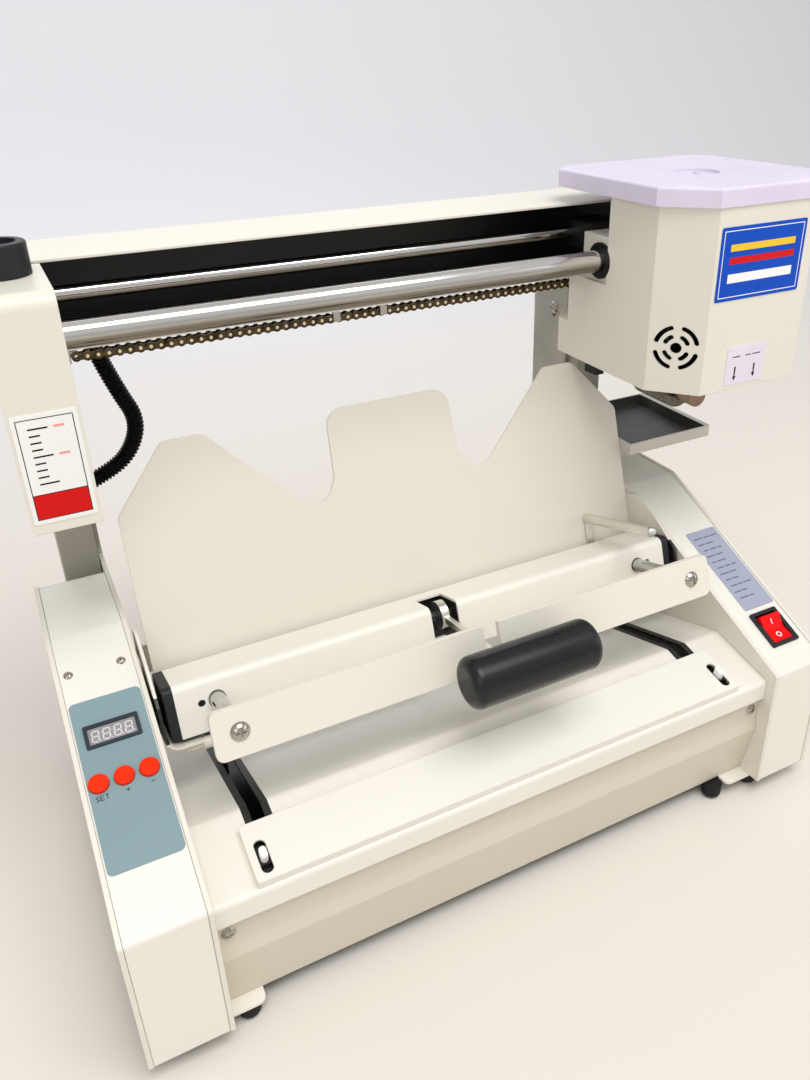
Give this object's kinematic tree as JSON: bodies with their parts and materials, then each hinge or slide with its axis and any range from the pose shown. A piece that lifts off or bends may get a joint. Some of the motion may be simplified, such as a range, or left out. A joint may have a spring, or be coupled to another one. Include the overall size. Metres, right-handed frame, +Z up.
{
  "type": "perfect binding machine",
  "caption": "Desk-top hot-melt perfect binder: glue box on two rods over a tilting book clamp with a cam lever, side boxes with controls.",
  "frame": {"origin": "centre of the footprint on the desk, under the rubber feet", "axes": "+X to the operator's right, +Y to the rear, +Z up"},
  "size_m": [0.5612, 0.336, 0.448],
  "materials": {
    "cream": "semi-gloss powder coat",
    "steel": "zinc plated",
    "chrome": "ground and hard chromed",
    "chain": "oiled bronze-coloured",
    "black": "satin black",
    "rubber": "matt",
    "lid": "pale lavender",
    "overlay": "blue-grey film",
    "lilac": "printed film",
    "blue": "printed film",
    "white": "printed film",
    "orange": "moulded",
    "red": "moulded",
    "display": "dark bezel",
    "alu": "machined",
    "grey": "grey powder coat",
    "silver": "polished",
    "brass": "polished"
  },
  "bodies": {
    "base": {"base_pan": "cream", "rubber_feet": "rubber", "inner_plate_left": "cream", "inner_plate_right": "cream", "outer_plates": "cream", "cover_left": "cream", "cover_right": "cream", "posts": "grey", "table": "cream", "apron": "cream", "rear_tie": "cream", "register_plate": "cream", "base_screws": "steel", "control_overlay": "overlay", "display": "display", "instruction_plate": "lilac", "rocker_bezel": "black", "power_inlet": "black"},
    "bridge": {"beam": "cream", "legs": "steel", "lock_screws": "steel", "front_rod": "chrome", "rear_rod": "chrome", "rod_blocks": "alu", "head_cover": "cream", "head_plate": "white", "chain": "chain", "chain_mounts": "steel", "conduit": "black", "conduit_gland": "black"},
    "height_knob": {"knob": "black", "lead_screw": "steel"},
    "carriage": {"box_shell": "cream", "box_floor": "black", "bearing_block": "cream", "rod_bush": "black", "rear_guide": "black", "glue_tank": "alu", "box_labels": "blue"},
    "box_lid": {"box_lid": "lid"},
    "drum": {"glue_drum": "silver"},
    "sprocket": {"sprocket": "steel"},
    "clamp": {"w_plate": "cream", "rear_jaw": "cream", "swing_plates": "black", "clamp_rods": "chrome", "front_bar": "cream", "bar_screws": "steel"},
    "side_stop": {"side_stop": "steel"},
    "jaw": {"jaw_housing": "cream", "jaw_end_caps": "black"},
    "lever": {"clamp_lever": "steel", "grip": "black"},
    "tab_left": {"register_tab_left": "white"},
    "tab_right": {"register_tab_right": "white"},
    "tray": {"drip_tray": "steel"},
    "rocker": {"rocker": "red"},
    "button_set": {"button_set": "orange"},
    "button_plus": {"button_plus": "orange"},
    "button_minus": {"button_minus": "orange"}
  },
  "joints": [
    {"name": "bridge_height", "type": "slide", "parent": "base", "child": "bridge", "axis": [0, 0, 1], "range_m": [-0.0045, 0]},
    {"name": "height_knob_turn", "type": "hinge", "parent": "bridge", "child": "height_knob", "pos_m": [-0.25605, 0.024, 0.4233], "axis": [0, 0, 1], "range_deg": [-541, 1]},
    {"name": "carriage_travel", "type": "slide", "parent": "bridge", "child": "carriage", "axis": [-1, 0, 0], "range_m": [0, 0.355]},
    {"name": "sprocket_turn", "type": "hinge", "parent": "carriage", "child": "sprocket", "pos_m": [0.16295, 0.053, 0.35187], "axis": [0, 1, 0], "range_deg": [-1, 1679.2]},
    {"name": "drum_turn", "type": "hinge", "parent": "carriage", "child": "drum", "pos_m": [0.16795, -0.0335, 0.3045], "axis": [0, 1, 0], "range_deg": [-1, 1454.9]},
    {"name": "lid_lift", "type": "slide", "parent": "carriage", "child": "box_lid", "axis": [0, 0, 1], "range_m": [0, 0.06]},
    {"name": "clamp_tilt", "type": "hinge", "parent": "base", "child": "clamp", "pos_m": [-0.02305, -0.00801, 0.172], "axis": [-1, 0, 0], "range_deg": [0, 40]},
    {"name": "jaw_slide", "type": "slide", "parent": "clamp", "child": "jaw", "axis": [0, -0.9516, 0.3074], "range_m": [-0.0042, 0.035]},
    {"name": "lever_turn", "type": "hinge", "parent": "jaw", "child": "lever", "pos_m": [-0.02305, -0.03592, 0.16042], "axis": [-1, 0, 0], "range_deg": [0, 75]},
    {"name": "side_stop_slide", "type": "slide", "parent": "clamp", "child": "side_stop", "axis": [1, 0, 0], "range_m": [-0.01, 0.01]},
    {"name": "tab_left_slide", "type": "slide", "parent": "base", "child": "tab_left", "axis": [0, 0.9797, 0.2006], "range_m": [-0.0065, 0.0065]},
    {"name": "tab_right_slide", "type": "slide", "parent": "base", "child": "tab_right", "axis": [0, 0.9797, 0.2006], "range_m": [-0.0065, 0.0065]},
    {"name": "tray_slide", "type": "slide", "parent": "base", "child": "tray", "axis": [0, -1, 0], "range_m": [0, 0.06]},
    {"name": "rocker_tilt", "type": "hinge", "parent": "base", "child": "rocker", "pos_m": [0.21235, -0.13307, 0.12615], "axis": [-1, 0, 0], "range_deg": [0, 24]},
    {"name": "button_set_press", "type": "slide", "parent": "base", "child": "button_set", "axis": [0, 0.3948, -0.9188], "range_m": [0, 0.001], "stiffness_N_per_m": 150},
    {"name": "button_plus_press", "type": "slide", "parent": "base", "child": "button_plus", "axis": [0, 0.3948, -0.9188], "range_m": [0, 0.001], "stiffness_N_per_m": 150},
    {"name": "button_minus_press", "type": "slide", "parent": "base", "child": "button_minus", "axis": [0, 0.3948, -0.9188], "range_m": [0, 0.001], "stiffness_N_per_m": 150}
  ],
  "couplings": [
    {"joint": "height_knob_turn", "follows": "bridge_height", "rad_per_m": 2094.4},
    {"joint": "sprocket_turn", "follows": "carriage_travel", "rad_per_m": 82.457},
    {"joint": "drum_turn", "follows": "carriage_travel", "rad_per_m": 71.429}
  ]
}
